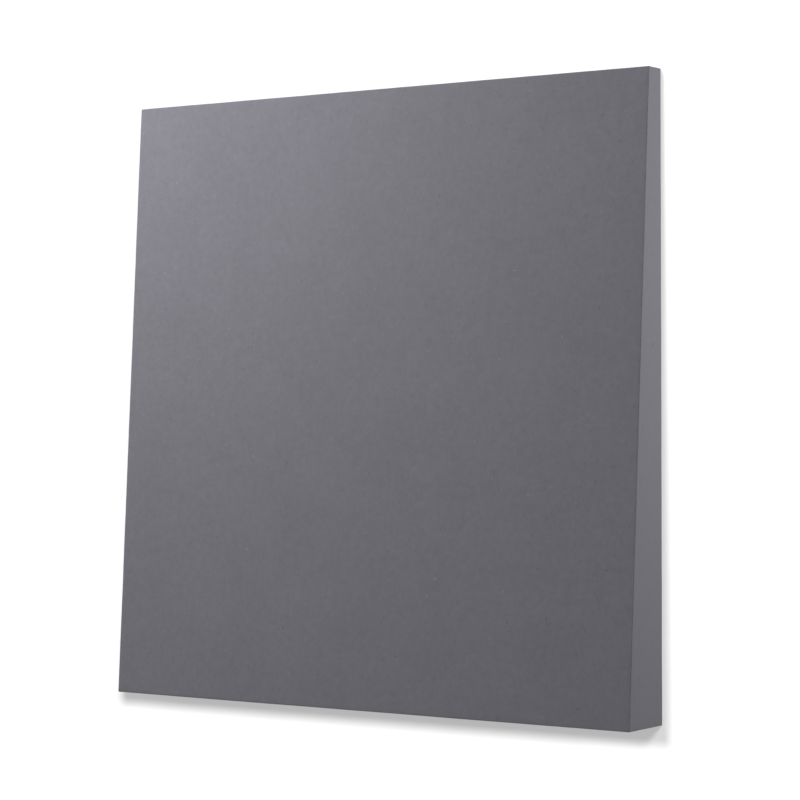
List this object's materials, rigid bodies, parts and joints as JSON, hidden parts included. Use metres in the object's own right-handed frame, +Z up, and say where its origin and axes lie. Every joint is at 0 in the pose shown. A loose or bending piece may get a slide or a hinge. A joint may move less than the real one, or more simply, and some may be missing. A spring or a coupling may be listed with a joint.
{
  "type": "acoustic wall panel",
  "caption": "Square sound-absorbing wall panel of pressed fibre, with a plumb back and a front that tapers from a thick foot to a thin head.",
  "frame": {"origin": "middle of the back, on the plane of the wall", "axes": "+Y out of the back into the wall, so the front faces -Y; +Z up from the thick foot to the thin head; X along the head and the foot"},
  "size_m": [0.6, 0.0609, 0.6],
  "materials": {
    "pressed_fibre": "matt mottled grey fibre, slightly fuzzy"
  },
  "bodies": {
    "root": {"absorber_panel": "pressed_fibre"}
  },
  "joints": []
}
